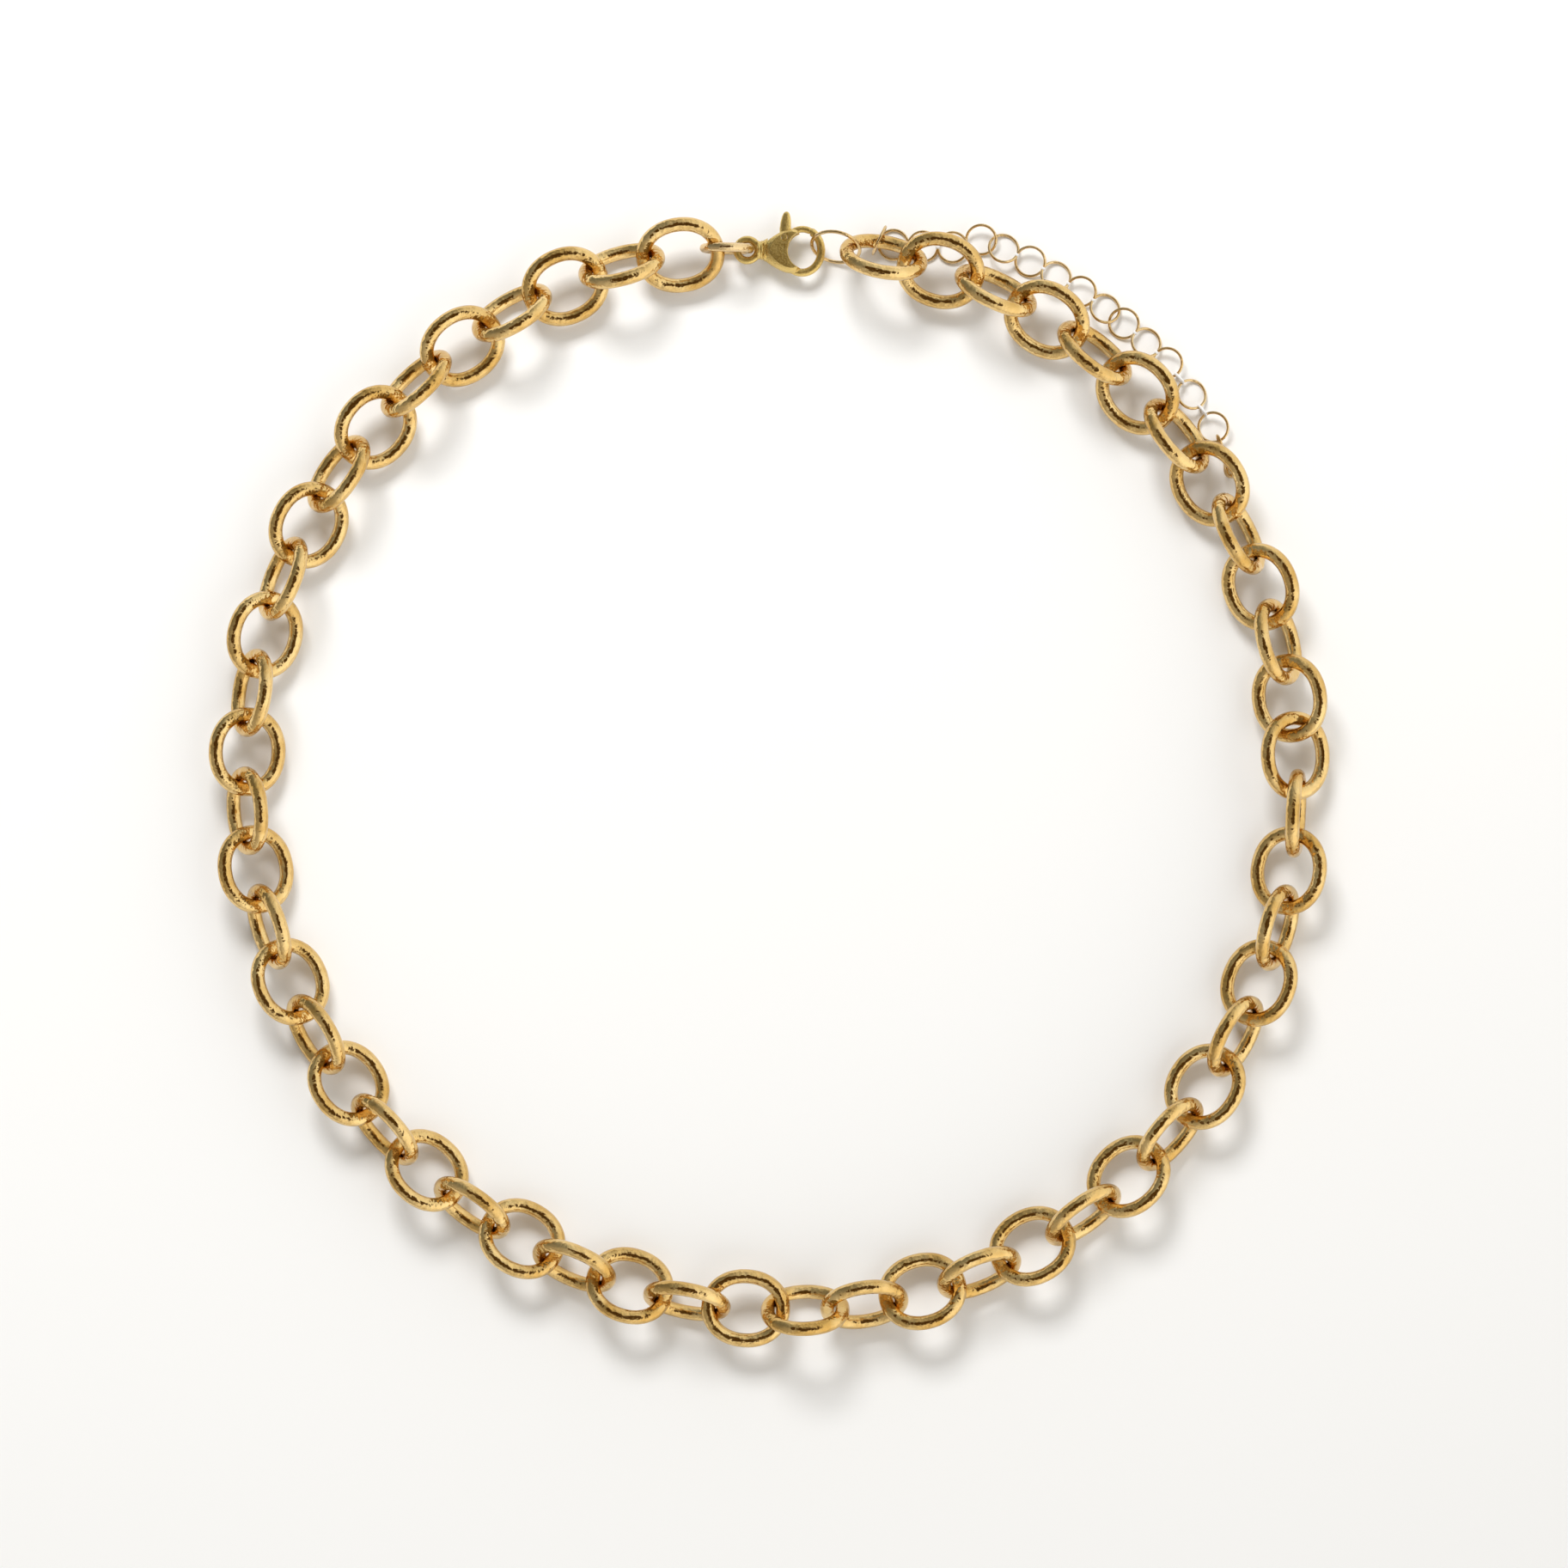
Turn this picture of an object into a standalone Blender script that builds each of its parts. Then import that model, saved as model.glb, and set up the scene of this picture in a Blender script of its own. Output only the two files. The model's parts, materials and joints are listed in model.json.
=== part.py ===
"""Gold chain necklace laid in a loop: oval cable links, lobster clasp, catch ring, extender chain and drop.

Metres, +Z up. The loop lies on the plane z = 0 around the origin, with the clasp at +Y.
"""
import math

import bmesh
import bpy
from mathutils import Vector

MM = 0.001

# Main chain
LINK_COUNT = 54
LINK_LENGTH = 12.45 * MM  # outside, along the chain
LINK_WIDTH = 10.8 * MM  # outside, across the chain
LINK_WIRE = 1.75 * MM
LINK_PLAY = 0.85 * MM  # how far two neighbours could still be pulled apart
LINK_STEPS = 16
HALVINGS = 60  # of the interval in which the loop's radius is sought
SMALL_ANGLE = 0.01  # radians, for the loop's direction at a place
BUNCHING = 0.01  # the spacing grows by this share each way, from the first link to the last
WAVES = ((2, 0.77 * MM, -31), (3, 0.38 * MM, 75))  # hand-laid loop: lobes, height, direction in degrees

# How the links lie: turned about the chain's line, outer side up being positive, in degrees
FACE_TILT = 24
EDGE_TILT = -60
TILT_SWAY = 3
SWAY_STEP = 1.9  # radians of sway from one link to the next
ORDER_SWAPS = (13, 27)  # between these links the odd ones lie on their face, elsewhere the even ones
# Links that lie in a way of their own: turn in degrees, and how far their neighbours hold them up
TURNED_LINKS = {
    1: (-56, 0.65 * MM),
    2: (24, 0.5 * MM),
    12: (26, 0.5 * MM),
    13: (-26, 0.75 * MM),
    14: (-78, 0),
    26: (-52, 0),
    27: (62, 0),
    28: (-2, 1.2 * MM),
}
SIT = 0.48  # 0 keeps every link's middle at one height, 1 lets each one down to the table

# The joints between these links and the next ones are soldered
SOLDERED = (7, 21, 35, 49)
SOLDER_RADIUS = 0.85 * MM

# Jump ring between the last link and the clasp, standing on edge
JUMP_DIAMETER = 7.5 * MM
JUMP_WIRE = 1.2 * MM
JUMP_LEAN = -3
RING_PLAY = 0.35 * MM  # clearance wherever a small ring takes another piece
JUMP_SLACK = 0.175 * MM  # added where it takes the thick link

# Lobster clasp, lying flat
CLASP_LENGTH = 10.2 * MM  # tail hole to the middle of the hook's nose
CLASP_HEIGHT = 2.3 * MM  # its middle plane over the table
TAIL_HOLE = JUMP_WIRE + 3 * RING_PLAY
TAIL_WIRE = 0.85 * MM
HOOK_ROD = 1.15 * MM
HOOK_REACH = 2.6 * MM  # half the hook's eye along the clasp, to the rod's middle
HOOK_SPREAD = 3.0 * MM  # half the eye across
HOOK_STARTS = -125  # degrees round the eye
HOOK_ENDS = 58
SHOULDER_RADIUS = 3.1 * MM
# The body's outline: shares of the way from neck to shoulder, and of the shoulder's radius
BODY_PROFILE = ((0, 0.29), (0.25, 0.5), (0.5, 0.75), (0.8, 0.96), (1, 1), (1.2, 0.9))
BODY_FLATTEN = 0.68
BODY_FLAT = 1.35 * MM  # the flat back and front, from the middle plane
BODY_STEPS = 20
THROUGH = 6 * MM  # length of cutters that pass right through the clasp

# Trigger, its pin and its spring
PIVOT_BACK = 2.5 * MM  # from the eye's middle
PIVOT_OUT = 1.75 * MM
PIN_RADIUS = 0.35 * MM
PIN_PLAY = 0.15 * MM
TRIGGER_THICKNESS = 0.9 * MM
TRIGGER_PLAY = 0.3 * MM
HUB_RADIUS = 0.9 * MM
GATE_ROD = 0.9 * MM
GATE_STARTS = 70
GATE_ENDS = 118
FIN_LENGTH = 3.7 * MM
FIN_WIDTH = 1.4 * MM
FIN_PROFILE = ((0.1, 1), (0.62, 0.96), (0.88, 0.7))  # shares of its length, and of half its width
SPRING_TURNS = 3
SPRING_RADIUS = 0.3 * MM
SPRING_WIRE = 0.16 * MM
SPRING_LENGTH = 0.8 * MM
SPRING_PLAY = 0.1 * MM

# Catch ring, held by the hook
CATCH_DIAMETER = 7.2 * MM
CATCH_WIRE = 0.55 * MM
CATCH_TILT = 58
CATCH_PITCH = -17
CATCH_OUT = 0.5 * MM  # towards the loop's outside from the clasp's line
CATCH_SLACK = 0.5 * MM  # how far the hook and the first link are from being pulled tight in it

# Extender chain: fine rings in runs, and longer steps with small connectors near its end
EXTENDER_RINGS = 15
EXTENDER_RUNS = ((0, 5), (5, 10), (10, 15))
EXTENDER_DIAMETER = 4.5 * MM
EXTENDER_WIRE = 0.42 * MM
EXTENDER_OVERLAP = 0.02 * MM  # soldered rings share this much
EXTENDER_STEPS = 12
EXTENDER_TILT = 20
EXTENDER_OFFSET = 6.2 * MM  # from the chain's line
EXTENDER_LEAD = (0, 0.15, 0.4)  # how far out towards that line the rings under the first links are
EXTENDER_TURN_IN = 0.5 * MM  # how far each ring past the first connector turns back in
# Tilt and height of the rings that pass under the first links
FLAT_RINGS = {1: (0, 0.28 * MM), 2: (6, 0.46 * MM), 3: (10, 0.68 * MM)}
CONNECTOR_RINGS = (12, 13)  # a connector follows each of these
CONNECTOR_DIAMETER = 2.0 * MM
CONNECTOR_SPAN = 1.4 * MM  # what a connector adds to the pitch
FIRST_RING_BACK = 1.0 * MM  # on the first link's outer side, towards the catch ring
FIRST_RING_TURN = -14  # degrees from square to the loop

# Drop
DROP_LENGTH = 5.0 * MM
DROP_RADIUS = 1.35 * MM
DROP_WIDEST = 0.72  # share of its length at which it is widest
DROP_PROFILE = ((0.02, 0.24), (0.3, 0.42), (0.55, 0.8), (DROP_WIDEST, 1), (0.88, 0.82), (0.97, 0.42))
DROP_LOOP = 1.9 * MM
DROP_LOOP_WIRE = 0.4 * MM
DROP_TURN = 12  # degrees further round than the extender's end
DROP_LIFT = 0.04 * MM

GOLD = (0.83, 0.60, 0.22, 1)
PALE_GOLD = (0.88, 0.68, 0.32, 1)
SATIN_GOLD = (0.72, 0.52, 0.15, 1)
STEEL = (0.62, 0.60, 0.56, 1)

# Derived sizes
LINK_PITCH = LINK_LENGTH - 2 * LINK_WIRE - LINK_PLAY
LINK_REACH = (LINK_LENGTH - LINK_WIRE) / 2
LINK_HALF = (LINK_WIDTH - LINK_WIRE) / 2
JUMP_RADIUS = (JUMP_DIAMETER - JUMP_WIRE) / 2
JUMP_HEIGHT = JUMP_DIAMETER / 2
TAIL_RADIUS = (TAIL_HOLE + TAIL_WIRE) / 2
CATCH_RADIUS = (CATCH_DIAMETER - CATCH_WIRE) / 2
EXTENDER_RADIUS = (EXTENDER_DIAMETER - EXTENDER_WIRE) / 2
CONNECTOR_RADIUS = (CONNECTOR_DIAMETER - EXTENDER_WIRE) / 2
DROP_LOOP_RADIUS = (DROP_LOOP - DROP_LOOP_WIRE) / 2
PIVOT = Vector((-PIVOT_BACK, PIVOT_OUT, 0))


def clear_scene():
    for obj in list(bpy.data.objects):
        bpy.data.objects.remove(obj, do_unlink=True)


def new_collection(name):
    collection = bpy.data.collections.new(name)
    bpy.context.scene.collection.children.link(collection)
    return collection


def new_material(name, colour, roughness):
    material = bpy.data.materials.new(name)
    material.use_nodes = True
    shader = material.node_tree.nodes["Principled BSDF"]
    shader.inputs["Base Color"].default_value = colour
    shader.inputs["Metallic"].default_value = 1
    shader.inputs["Roughness"].default_value = roughness
    return material


clear_scene()
parts = new_collection("chain_necklace")
cutters = new_collection("cutters")
gold = new_material("polished_gold", GOLD, 0.2)
pale = new_material("fine_gold_wire", PALE_GOLD, 0.25)
satin = new_material("satin_gold", SATIN_GOLD, 0.4)
steel = new_material("spring_steel", STEEL, 0.35)


def add(name, data, location=(0, 0, 0), rotation=(0, 0, 0), collection=parts):
    obj = bpy.data.objects.new(name, data)
    obj.location = location
    obj.rotation_euler = rotation
    collection.objects.link(obj)
    if collection == cutters:
        obj.hide_render = True
        obj.display_type = "WIRE"
    bpy.context.view_layer.update()
    return obj


def tube_curve(name, points, wire, material, closed, sides=1):
    """Wire bent through the points: sides 1 gives six faces round it, and 2 gives eight."""
    curve = bpy.data.curves.new(name, "CURVE")
    curve.dimensions = "3D"
    curve.bevel_depth = wire / 2
    curve.bevel_resolution = sides
    curve.use_fill_caps = not closed
    spline = curve.splines.new("POLY")
    spline.points.add(len(points) - 1)
    for point, place in zip(spline.points, points):
        point.co = (*place, 1)
    spline.use_cyclic_u = closed
    curve.materials.append(material)
    return curve


def oval_points(half_length, half_width, steps):
    turns = [2 * math.pi * i / steps for i in range(steps)]
    return [(half_length * math.cos(a), half_width * math.sin(a), 0) for a in turns]


def ring_curve(name, radius, wire, steps, material):
    return tube_curve(name, oval_points(radius, radius, steps), wire, material, closed=True)


def as_mesh(obj):
    """Turns a curve object into a mesh object in the same place, with its caps welded."""
    evaluated = obj.evaluated_get(bpy.context.evaluated_depsgraph_get())
    mesh = bpy.data.meshes.new_from_object(evaluated)
    shell = bmesh.new()
    shell.from_mesh(mesh)
    bmesh.ops.remove_doubles(shell, verts=shell.verts, dist=0.001 * MM)
    shell.to_mesh(mesh)
    shell.free()
    name, collection = obj.name, obj.users_collection[0]
    place, turn = obj.location.copy(), obj.rotation_euler.copy()
    bpy.data.objects.remove(obj)
    return add(name, mesh, place, turn, collection)


def boolean(target, other, operation):
    modifier = target.modifiers.new(other.name, "BOOLEAN")
    modifier.operation = operation
    modifier.object = other


def primitive(name, build, material, location=(0, 0, 0), rotation=(0, 0, 0), collection=parts):
    """One bmesh primitive as an object; build adds the shape to an empty bmesh."""
    shell = bmesh.new()
    build(shell)
    mesh = bpy.data.meshes.new(name)
    shell.to_mesh(mesh)
    shell.free()
    mesh.materials.append(material)
    return add(name, mesh, location, rotation, collection)


def cylinder(name, radius, length, material, location, rotation=(0, 0, 0), collection=parts, steps=12):
    def build(shell):
        bmesh.ops.create_cone(
            shell, cap_ends=True, segments=steps, radius1=radius, radius2=radius, depth=length
        )

    return primitive(name, build, material, location, rotation, collection)


def turned(name, profile, steps, material, location, rotation, flatten=1, collection=parts):
    """A profile of (distance along, radius) turned about the local X axis, then flattened in Z."""
    mesh = bpy.data.meshes.new(name)
    edges = [(i, i + 1) for i in range(len(profile) - 1)]
    mesh.from_pydata([(along, radius, 0) for along, radius in profile], edges, [])
    mesh.materials.append(material)
    line = add(name, mesh, location, rotation, collection)
    screw = line.modifiers.new("turn", "SCREW")
    screw.axis = "X"
    screw.steps = screw.render_steps = steps
    screw.use_merge_vertices = True
    screw.merge_threshold = 0.01 * MM
    screw.use_normal_calculate = True
    solid = as_mesh(line)
    for vertex in solid.data.vertices:
        vertex.co.z *= flatten
    return solid


# ---------------------------------------------------------------------------------------------------------
# The loop's plan. Angles run clockwise from +Y, seen from above.


def spacing(k):
    """Distance from link k to link k + 1."""
    return LINK_PITCH * (1 - BUNCHING * math.cos(math.pi * (k - 0.5) / (LINK_COUNT - 1)))


def turn_of(chord, radius):
    return 2 * math.asin(chord / 2 / radius)


def end_wire(radius, half_gap):
    """X and Y of the first link's end wire, the one that faces the clasp."""
    x = radius * math.sin(half_gap) - LINK_REACH * math.cos(half_gap)
    y = radius * math.cos(half_gap) + LINK_REACH * math.sin(half_gap)
    return x, y


def link_height(tilt):
    rests_at = LINK_WIRE / 2 + LINK_HALF * abs(math.sin(math.radians(tilt)))
    held_at = LINK_WIRE / 2 + LINK_HALF * abs(math.sin(math.radians(EDGE_TILT)))
    return max(rests_at, SIT * rests_at + (1 - SIT) * held_at)


def tilt_of(k):
    if k in TURNED_LINKS:
        return TURNED_LINKS[k][0]
    swapped = ORDER_SWAPS[0] <= k <= ORDER_SWAPS[1]
    on_its_face = (k % 2 == 1) if swapped else (k % 2 == 0)
    return (FACE_TILT if on_its_face else EDGE_TILT) + TILT_SWAY * math.sin(SWAY_STEP * k)


# The clasp row runs straight from the last link's end wire to the first link's.
face_height = link_height(tilt_of(LINK_COUNT))
jump_hole = JUMP_RADIUS - JUMP_WIRE / 2 - LINK_WIRE / 2 - RING_PLAY - JUMP_SLACK
last_to_jump = math.sqrt(jump_hole**2 - (face_height - JUMP_HEIGHT) ** 2)
jump_to_tail = math.sqrt(JUMP_RADIUS**2 - (JUMP_HEIGHT - CLASP_HEIGHT) ** 2)
catch_inside = 2 * CATCH_RADIUS - CATCH_WIRE - HOOK_ROD / 2 - LINK_WIRE / 2 - 2 * RING_PLAY - CATCH_SLACK
hook_to_first = catch_inside * math.cos(math.radians(CATCH_PITCH))
row_length = last_to_jump + jump_to_tail + CLASP_LENGTH + hook_to_first


def solve_loop():
    """The radius at which the links and the clasp row close the loop, and the row's half angle."""
    low, high = LINK_COUNT * LINK_PITCH / 8, LINK_COUNT * LINK_PITCH
    for _ in range(HALVINGS):
        radius = (low + high) / 2
        links = sum(turn_of(spacing(k), radius) for k in range(1, LINK_COUNT))
        half_gap = math.pi - links / 2
        if end_wire(radius, half_gap)[0] * 2 > row_length:
            high = radius
        else:
            low = radius
    return radius, half_gap


LOOP_RADIUS, HALF_GAP = solve_loop()
ROW_START, ROW_Y = -end_wire(LOOP_RADIUS, HALF_GAP)[0], end_wire(LOOP_RADIUS, HALF_GAP)[1]


def wave(angle):
    """The loop's gentle unevenness, fading out beside the clasp row."""
    fade = min(1, (math.pi - abs(math.pi - angle % (2 * math.pi)) - HALF_GAP) / HALF_GAP)
    lobes = sum(height * math.cos(n * angle - math.radians(turn)) for n, height, turn in WAVES)
    return max(0, fade) * lobes


def on_loop(angle, outward=0, height=0):
    radius = LOOP_RADIUS + wave(angle) + outward
    return Vector((radius * math.sin(angle), radius * math.cos(angle), height))


def link_angles():
    angles = [HALF_GAP]
    for k in range(1, LINK_COUNT):
        angles.append(angles[-1] + turn_of(spacing(k), LOOP_RADIUS))
    return angles


LINK_ANGLES = link_angles()


def heading(angle):
    """Rotation about Z that lays a piece's X along the loop, clockwise."""
    ahead = on_loop(angle + SMALL_ANGLE) - on_loop(angle - SMALL_ANGLE)
    return math.atan2(ahead.y, ahead.x)


# ---------------------------------------------------------------------------------------------------------
# Main links. Each is a closed ring of its own; four pairs are joined by a bead of solder.


def link_place(k):
    angle, tilt = LINK_ANGLES[k - 1], tilt_of(k)
    lift = TURNED_LINKS[k][1] if k in TURNED_LINKS else 0
    return on_loop(angle, 0, link_height(tilt) + lift), (math.radians(tilt), 0, heading(angle))


def build_links():
    wire = oval_points(LINK_REACH, LINK_HALF, LINK_STEPS)
    shape = tube_curve("main_link", wire, LINK_WIRE, gold, closed=True)
    for k in range(1, LINK_COUNT + 1):
        if k - 1 in SOLDERED:
            continue
        place, turn = link_place(k)
        if k not in SOLDERED:
            add(f"link_{k:02d}", shape, place, turn)
            continue
        first = as_mesh(add(f"link_{k:02d}_{k + 1:02d}", shape.copy(), place, turn))
        next_place, next_turn = link_place(k + 1)
        second = as_mesh(add(f"soldered_link_{k + 1}", shape.copy(), next_place, next_turn, cutters))
        bead = primitive(
            f"solder_{k}",
            lambda shell: bmesh.ops.create_icosphere(shell, subdivisions=1, radius=SOLDER_RADIUS),
            gold,
            (place + next_place) / 2,
            collection=cutters,
        )
        boolean(first, bead, "UNION")
        boolean(first, second, "UNION")


# ---------------------------------------------------------------------------------------------------------
# Jump ring and lobster clasp. The clasp's pieces are made about the middle of the hook's eye.

JUMP_X = ROW_START + last_to_jump
TAIL_X = JUMP_X + jump_to_tail
EYE = Vector((TAIL_X + CLASP_LENGTH - HOOK_REACH, ROW_Y, CLASP_HEIGHT))


def on_eye(degrees, reach=HOOK_REACH, spread=HOOK_SPREAD):
    angle = math.radians(degrees)
    return (reach * math.cos(angle), spread * math.sin(angle), 0)


def build_jump_ring():
    shape = ring_curve("jump_ring", JUMP_RADIUS, JUMP_WIRE, 16, pale)
    turn = (math.radians(90 - JUMP_LEAN), 0, 0)
    add("jump_ring", shape, (JUMP_X, ROW_Y, JUMP_HEIGHT), turn)


def build_clasp_body():
    tail = HOOK_REACH - CLASP_LENGTH
    neck = tail + TAIL_RADIUS
    flare = HUB_RADIUS - PIVOT_BACK - neck
    profile = [(neck + along * flare, radius * SHOULDER_RADIUS) for along, radius in BODY_PROFILE]
    profile = [(neck - TAIL_WIRE / 4, 0), *profile, (profile[-1][0] + TAIL_WIRE / 4, 0)]
    body = turned("clasp_body", profile, BODY_STEPS, satin, EYE, (0, 0, 0), BODY_FLATTEN)

    slab_size = 2 * CLASP_LENGTH
    for side in (1, -1):
        slab = primitive(
            f"flat_{side}",
            lambda shell: bmesh.ops.create_cube(shell, size=slab_size),
            satin,
            EYE + Vector((0, 0, side * (BODY_FLAT + slab_size / 2))),
            collection=cutters,
        )
        boolean(body, slab, "DIFFERENCE")

    eye_hole = cylinder("eye_hole", 1, THROUGH, satin, EYE, collection=cutters, steps=24)
    inside = (HOOK_REACH - HOOK_ROD / 2, HOOK_SPREAD - HOOK_ROD / 2, 1)
    for vertex in eye_hole.data.vertices:
        vertex.co = [c * s for c, s in zip(vertex.co, inside)]
    boolean(body, eye_hole, "DIFFERENCE")

    turns = range(HOOK_STARTS, HOOK_ENDS + 1, 15)
    hook = tube_curve("hook", [on_eye(t) for t in turns], HOOK_ROD, satin, closed=False, sides=2)
    boolean(body, as_mesh(add("hook", hook, EYE, collection=cutters)), "UNION")
    loop = ring_curve("tail_loop", TAIL_RADIUS, TAIL_WIRE, 12, satin)
    boolean(body, as_mesh(add("tail_loop", loop, (TAIL_X, ROW_Y, CLASP_HEIGHT), collection=cutters)), "UNION")

    slot_height = TRIGGER_THICKNESS + 2 * TRIGGER_PLAY
    slot_back = HUB_RADIUS + 2 * TRIGGER_PLAY
    slot_in = PIVOT_OUT - HUB_RADIUS - TRIGGER_PLAY
    slot_box = (
        (PIVOT.x - slot_back - SPRING_LENGTH, slot_in, -slot_height / 2),
        (on_eye(GATE_STARTS)[0], slot_in + THROUGH, slot_height / 2),
    )
    middle = [(a + b) / 2 for a, b in zip(*slot_box)]
    size = [b - a for a, b in zip(*slot_box)]
    slot = primitive(
        "trigger_slot",
        lambda shell: bmesh.ops.create_cube(shell, size=1),
        satin,
        EYE + Vector(middle),
        collection=cutters,
    )
    for vertex in slot.data.vertices:
        vertex.co = [c * s for c, s in zip(vertex.co, size)]
    boolean(body, slot, "DIFFERENCE")
    bore = cylinder("pin_bore", PIN_RADIUS + PIN_PLAY, THROUGH, satin, EYE + PIVOT, collection=cutters)
    boolean(body, bore, "DIFFERENCE")


def build_trigger():
    place = EYE + PIVOT
    trigger = cylinder("clasp_trigger", HUB_RADIUS, TRIGGER_THICKNESS, satin, place, steps=16)
    gate_turns = range(GATE_STARTS, GATE_ENDS + 1, 10)
    gate_points = [Vector(on_eye(t)) - PIVOT for t in gate_turns] + [Vector((0, HUB_RADIUS / 3, 0))]
    gate = tube_curve("gate", gate_points, GATE_ROD, satin, closed=False, sides=2)
    boolean(trigger, as_mesh(add("gate", gate, place, collection=cutters)), "UNION")
    fin_profile = [(along * FIN_LENGTH, side * FIN_WIDTH / 2) for along, side in FIN_PROFILE]
    fin_profile = [(0, 0), *fin_profile, (FIN_LENGTH, 0)]
    upright = (0, 0, math.pi / 2)
    flatten = TRIGGER_THICKNESS / FIN_WIDTH
    fin = turned("fin", fin_profile, 10, satin, place, upright, flatten, collection=cutters)
    boolean(trigger, fin, "UNION")
    bore = cylinder("trigger_bore", PIN_RADIUS + PIN_PLAY, THROUGH, satin, place, collection=cutters)
    boolean(trigger, bore, "DIFFERENCE")
    cylinder("clasp_pivot_pin", PIN_RADIUS, 2 * BODY_FLAT, satin, place)


def build_spring():
    """A small compression spring in the back of the slot, against the trigger's hub."""
    start = PIVOT.x - HUB_RADIUS - TRIGGER_PLAY - SPRING_WIRE / 2
    per_turn = 8
    points = []
    for i in range(SPRING_TURNS * per_turn + 1):
        angle = 2 * math.pi * i / per_turn
        along = start - SPRING_LENGTH * i / (SPRING_TURNS * per_turn)
        points.append((along, SPRING_RADIUS * math.cos(angle), SPRING_RADIUS * math.sin(angle)))
    shape = tube_curve("trigger_spring", points, SPRING_WIRE, steel, closed=False)
    slot_in = PIVOT_OUT - HUB_RADIUS - TRIGGER_PLAY
    spring_out = slot_in + SPRING_RADIUS + SPRING_WIRE / 2 + SPRING_PLAY
    add("trigger_spring", shape, EYE + Vector((0, spring_out, 0)))


# ---------------------------------------------------------------------------------------------------------
# Catch ring: it takes the hook's nose on one side and the first link on the other.


def build_catch_ring():
    nose_x = EYE.x + HOOK_REACH
    middle_x = nose_x - HOOK_ROD / 2 - RING_PLAY - CATCH_WIRE / 2
    middle_x += CATCH_RADIUS * math.cos(math.radians(CATCH_PITCH))
    rise = CATCH_RADIUS * math.sin(math.radians(-CATCH_PITCH))
    shape = ring_curve("catch_ring", CATCH_RADIUS, CATCH_WIRE, 16, pale)
    turn = (math.radians(CATCH_TILT), math.radians(CATCH_PITCH), 0)
    add("catch_ring", shape, (middle_x, ROW_Y + CATCH_OUT, CLASP_HEIGHT + rise), turn)


# ---------------------------------------------------------------------------------------------------------
# Extender chain: fine rings along a line outside the big links, and under their raised sides.


def run_starts():
    return [first for first, _ in EXTENDER_RUNS]


def extender_pitch(i):
    """Distance from ring i - 1 to ring i."""
    if i in run_starts():
        return 2 * EXTENDER_RADIUS - EXTENDER_WIRE - RING_PLAY
    connector = CONNECTOR_SPAN if i - 1 in CONNECTOR_RINGS else 0
    return 2 * EXTENDER_RADIUS - EXTENDER_OVERLAP + connector


def extender_places():
    """Place and rotation of every ring, the first of which stands on edge round the first link's wire."""
    link_middle, link_turn = link_place(1)
    along = Vector((math.cos(link_turn[2]), math.sin(link_turn[2]), 0))
    outward = Vector((-along.y, along.x, 0))
    side = LINK_HALF * math.cos(link_turn[0])
    first = link_middle - along * FIRST_RING_BACK + outward * side
    first.z = EXTENDER_DIAMETER / 2
    angle = math.atan2(first.x, first.y)
    start = first.xy.length - LOOP_RADIUS
    places = [(first, (math.pi / 2, 0, math.pi / 2 - angle + math.radians(FIRST_RING_TURN)))]
    lean = EXTENDER_RADIUS * math.sin(math.radians(EXTENDER_TILT)) + EXTENDER_WIRE / 2
    last_out = start
    for i in range(1, EXTENDER_RINGS):
        share = EXTENDER_LEAD[i - 1] if i <= len(EXTENDER_LEAD) else 1
        out = start + (EXTENDER_OFFSET - start) * share
        out -= EXTENDER_TURN_IN * max(0, i - CONNECTOR_RINGS[0])
        pitch = extender_pitch(i) if i > 1 else EXTENDER_RADIUS
        angle += math.sqrt(pitch**2 - (out - last_out) ** 2) / (LOOP_RADIUS + out)
        last_out = out
        tilt = EXTENDER_TILT * (1 if i % 2 == 0 else -1)
        tilt, height = FLAT_RINGS.get(i, (tilt, lean))
        spot = on_loop(angle, out, height)
        places.append((spot, (math.radians(tilt), 0, heading(angle))))
    return places


def ring_copy(name, i, place, turn, collection):
    shape = ring_curve(f"{name}_{i}", EXTENDER_RADIUS, EXTENDER_WIRE, EXTENDER_STEPS, pale)
    return as_mesh(add(name if collection == parts else f"{name}_{i}", shape, place, turn, collection))


def build_extender():
    places = extender_places()
    for number, (first, end) in enumerate(EXTENDER_RUNS, 1):
        name = f"extender_{number}"
        run = ring_copy(name, first, *places[first], parts)
        for i in range(first + 1, end):
            boolean(run, ring_copy(name, i, *places[i], cutters), "UNION")
            if i - 1 in CONNECTOR_RINGS:
                middle = (places[i][0] + places[i - 1][0]) / 2
                middle.z = CONNECTOR_DIAMETER / 2
                turn = (math.pi / 2, 0, places[i][1][2])
                wire = ring_curve("connector", CONNECTOR_RADIUS, EXTENDER_WIRE, 10, pale)
                connector = as_mesh(add(f"connector_{i}", wire, middle, turn, cutters))
                boolean(run, connector, "UNION")
    build_drop(*places[-1])


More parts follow.
